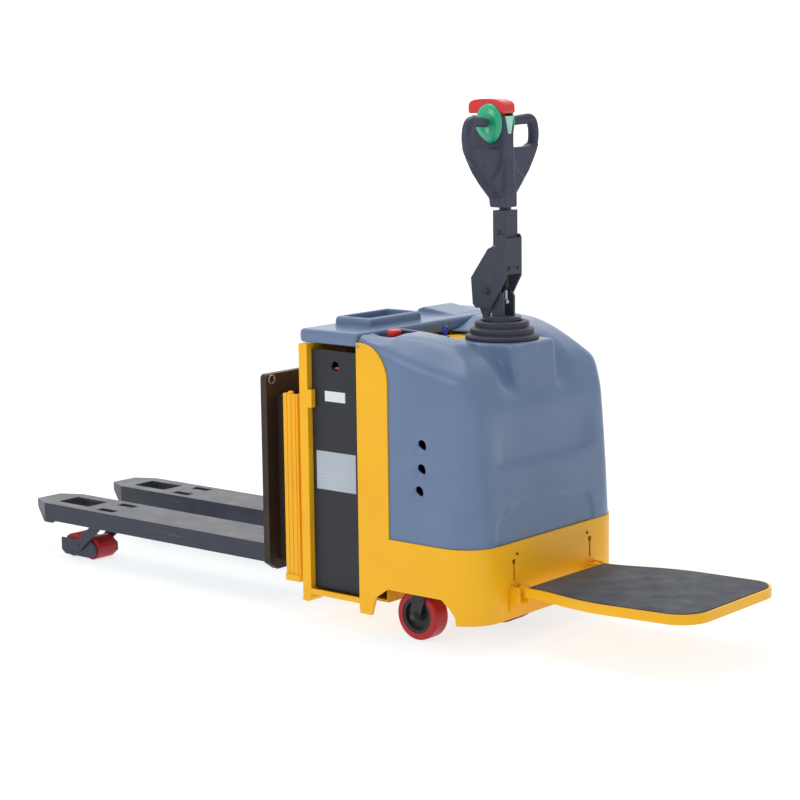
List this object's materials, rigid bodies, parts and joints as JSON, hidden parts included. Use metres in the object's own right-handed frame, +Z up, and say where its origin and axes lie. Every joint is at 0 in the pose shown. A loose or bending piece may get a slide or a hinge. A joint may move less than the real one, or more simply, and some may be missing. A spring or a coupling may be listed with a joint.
{
  "type": "electric pallet truck",
  "caption": "Ride-on electric pallet truck with two low forks, load backrest, battery bay, moulded drive cover, upright tiller handle and fold-down rider platform.",
  "frame": {"origin": "on the floor under the middle of the bounding box", "axes": "+X along the truck from the forks to the rider platform, +Y to the left, +Z up"},
  "size_m": [2.7322, 0.76, 1.586],
  "materials": {
    "yellow_paint": "satin enamel",
    "cover_grey": "satin moulded plastic",
    "fork_paint": "satin enamel",
    "backrest_paint": "satin enamel",
    "battery_panel": "powder coat",
    "cell_plastic": "matte",
    "machined_steel": "machined",
    "cast_housing": "painted casting",
    "motor_black": "semi-gloss",
    "tiller_paint": "powder coat",
    "handle_plastic": "fine-grained plastic",
    "switch_red": "gloss",
    "knob_green": "gloss",
    "button_pale": "gloss",
    "boot_rubber": "matte rubber",
    "tread_red": "polyurethane",
    "drive_tread": "polyurethane, worn",
    "mat_rubber": "ribbed rubber",
    "dash_plastic": "matte",
    "key_blue": "matte"
  },
  "bodies": {
    "chassis": {"body_frame": "yellow_paint", "floor_plate": "yellow_paint", "front_frame": "yellow_paint", "mast_channels": "yellow_paint", "chassis_deck": "yellow_paint", "slew_ring": "machined_steel", "dash_beam": "yellow_paint", "battery_case": "battery_panel", "battery_cells": "cell_plastic", "battery_doors": "battery_panel", "body_cover": "cover_grey", "steering_boot": "boot_rubber", "pump_unit": "motor_black", "motor_controller": "cast_housing", "lift_cylinder": "motor_black", "estop_base": "dash_plastic", "key_switch": "machined_steel", "platform_lugs": "yellow_paint"},
    "lid": {"battery_lid": "cover_grey"},
    "drive_unit": {"drive_gearbox": "cast_housing", "traction_motor": "motor_black", "parking_brake": "cast_housing", "steering_column": "machined_steel", "tiller_bracket": "tiller_paint"},
    "drive_wheel": {"drive_hub": "cast_housing", "drive_tyre": "drive_tread"},
    "tiller": {"tiller_cheeks": "tiller_paint", "tiller_column": "tiller_paint", "gas_spring": "machined_steel", "handle_core": "handle_plastic", "handle_loops": "handle_plastic"},
    "throttle": {"throttle_knobs": "knob_green"},
    "belly": {"belly_switch": "switch_red"},
    "horn": {"horn_button": "button_pale"},
    "estop": {"estop_button": "switch_red"},
    "key_plug": {"key": "key_blue"},
    "carriage": {"backrest": "backrest_paint", "carriage_frame": "fork_paint", "guide_rollers": "machined_steel", "fork_left": "fork_paint", "fork_right": "fork_paint", "lift_rod": "machined_steel"},
    "platform": {"platform_deck": "yellow_paint", "platform_mat": "mat_rubber"},
    "load_arm_left": {"load_arm_left": "fork_paint"},
    "push_rod_left": {"push_rod_left": "machined_steel"},
    "bogie_left": {"bogie_left": "fork_paint"},
    "castor_swivel_left": {"castor_yoke_left": "motor_black"},
    "castor_wheel_left": {"castor_hub_left": "motor_black", "castor_tyre_left": "tread_red"},
    "roller_left_front": {"load_roller_left_front": "tread_red"},
    "roller_left_rear": {"load_roller_left_rear": "tread_red"},
    "load_arm_right": {"load_arm_right": "fork_paint"},
    "push_rod_right": {"push_rod_right": "machined_steel"},
    "bogie_right": {"bogie_right": "fork_paint"},
    "castor_swivel_right": {"castor_yoke_right": "motor_black"},
    "castor_wheel_right": {"castor_hub_right": "motor_black", "castor_tyre_right": "tread_red"},
    "roller_right_front": {"load_roller_right_front": "tread_red"},
    "roller_right_rear": {"load_roller_right_rear": "tread_red"}
  },
  "joints": [
    {"name": "lid_hinge", "type": "hinge", "parent": "chassis", "child": "lid", "pos_m": [0.053, 0, 0.863], "axis": [0, -1, 0], "range_deg": [0, 85]},
    {"name": "steer", "type": "hinge", "parent": "chassis", "child": "drive_unit", "pos_m": [0.533, 0, 0.24], "axis": [0, 0, 1], "range_deg": [-90, 90]},
    {"name": "drive_wheel_spin", "type": "hinge", "parent": "drive_unit", "child": "drive_wheel", "pos_m": [0.533, 0, 0.115], "axis": [0, 1, 0], "continuous": true},
    {"name": "tiller_tilt", "type": "hinge", "parent": "drive_unit", "child": "tiller", "pos_m": [0.507, 0, 1.018], "axis": [0, 1, 0], "range_deg": [0, 75], "stiffness_Nm_per_rad": 16, "springref_deg": -20.05},
    {"name": "throttle_turn", "type": "hinge", "parent": "tiller", "child": "throttle", "pos_m": [0.515, 0, 1.514], "axis": [0, 1, 0], "range_deg": [-35, 35], "stiffness_Nm_per_rad": 0.8},
    {"name": "belly_press", "type": "slide", "parent": "tiller", "child": "belly", "axis": [0, 0, -1], "range_m": [0, 0.004], "stiffness_N_per_m": 1500, "springref_m": -0.004},
    {"name": "horn_press", "type": "slide", "parent": "tiller", "child": "horn", "axis": [-1, 0, 0], "range_m": [0, 0.003], "stiffness_N_per_m": 600, "springref_m": -0.001},
    {"name": "estop_press", "type": "slide", "parent": "chassis", "child": "estop", "axis": [0, 0, -1], "range_m": [0, 0.006]},
    {"name": "key_turn", "type": "hinge", "parent": "chassis", "child": "key_plug", "pos_m": [0.362, -0.06, 0.87], "axis": [0, 0, 1], "range_deg": [0, 60]},
    {"name": "lift", "type": "slide", "parent": "chassis", "child": "carriage", "axis": [0, 0, 1], "range_m": [-0.096, 0.017]},
    {"name": "platform_fold", "type": "hinge", "parent": "chassis", "child": "platform", "pos_m": [0.742, 0, 0.162], "axis": [0, -1, 0], "range_deg": [0, 88]},
    {"name": "load_arm_left_swing", "type": "hinge", "parent": "carriage", "child": "load_arm_left", "pos_m": [-1, 0.18, 0.156], "axis": [0, 1, 0], "range_deg": [-6.2, 34.2]},
    {"name": "bogie_left_rock", "type": "hinge", "parent": "load_arm_left", "child": "bogie_left", "pos_m": [-1.137, 0.18, 0.044], "axis": [0, 1, 0], "range_deg": [-34.2, 6.2]},
    {"name": "push_rod_left_slide", "type": "slide", "parent": "carriage", "child": "push_rod_left", "axis": [1, 0, 0], "range_m": [-0.0152, 0.0029]},
    {"name": "roller_left_front_spin", "type": "hinge", "parent": "bogie_left", "child": "roller_left_front", "pos_m": [-1.1845, 0.18, 0.04], "axis": [0, 1, 0], "continuous": true},
    {"name": "roller_left_rear_spin", "type": "hinge", "parent": "bogie_left", "child": "roller_left_rear", "pos_m": [-1.0895, 0.18, 0.04], "axis": [0, 1, 0], "continuous": true},
    {"name": "castor_left_swivel", "type": "hinge", "parent": "chassis", "child": "castor_swivel_left", "pos_m": [0.495, 0.312, 0.17], "axis": [0, 0, 1], "continuous": true},
    {"name": "castor_left_spin", "type": "hinge", "parent": "castor_swivel_left", "child": "castor_wheel_left", "pos_m": [0.47, 0.312, 0.075], "axis": [0, 1, 0], "continuous": true},
    {"name": "load_arm_right_swing", "type": "hinge", "parent": "carriage", "child": "load_arm_right", "pos_m": [-1, -0.18, 0.156], "axis": [0, 1, 0], "range_deg": [-6.2, 34.2]},
    {"name": "bogie_right_rock", "type": "hinge", "parent": "load_arm_right", "child": "bogie_right", "pos_m": [-1.137, -0.18, 0.044], "axis": [0, 1, 0], "range_deg": [-34.2, 6.2]},
    {"name": "push_rod_right_slide", "type": "slide", "parent": "carriage", "child": "push_rod_right", "axis": [1, 0, 0], "range_m": [-0.0152, 0.0029]},
    {"name": "roller_right_front_spin", "type": "hinge", "parent": "bogie_right", "child": "roller_right_front", "pos_m": [-1.1845, -0.18, 0.04], "axis": [0, 1, 0], "continuous": true},
    {"name": "roller_right_rear_spin", "type": "hinge", "parent": "bogie_right", "child": "roller_right_rear", "pos_m": [-1.0895, -0.18, 0.04], "axis": [0, 1, 0], "continuous": true},
    {"name": "castor_right_swivel", "type": "hinge", "parent": "chassis", "child": "castor_swivel_right", "pos_m": [0.495, -0.312, 0.17], "axis": [0, 0, 1], "continuous": true},
    {"name": "castor_right_spin", "type": "hinge", "parent": "castor_swivel_right", "child": "castor_wheel_right", "pos_m": [0.47, -0.312, 0.075], "axis": [0, 1, 0], "continuous": true}
  ],
  "couplings": [
    {"joint": "load_arm_left_swing", "follows": "lift", "rad_per_m": -6.196},
    {"joint": "bogie_left_rock", "follows": "lift", "rad_per_m": 6.196},
    {"joint": "push_rod_left_slide", "follows": "lift", "ratio": 0.1562},
    {"joint": "load_arm_right_swing", "follows": "lift", "rad_per_m": -6.196},
    {"joint": "bogie_right_rock", "follows": "lift", "rad_per_m": 6.196},
    {"joint": "push_rod_right_slide", "follows": "lift", "ratio": 0.1562}
  ]
}
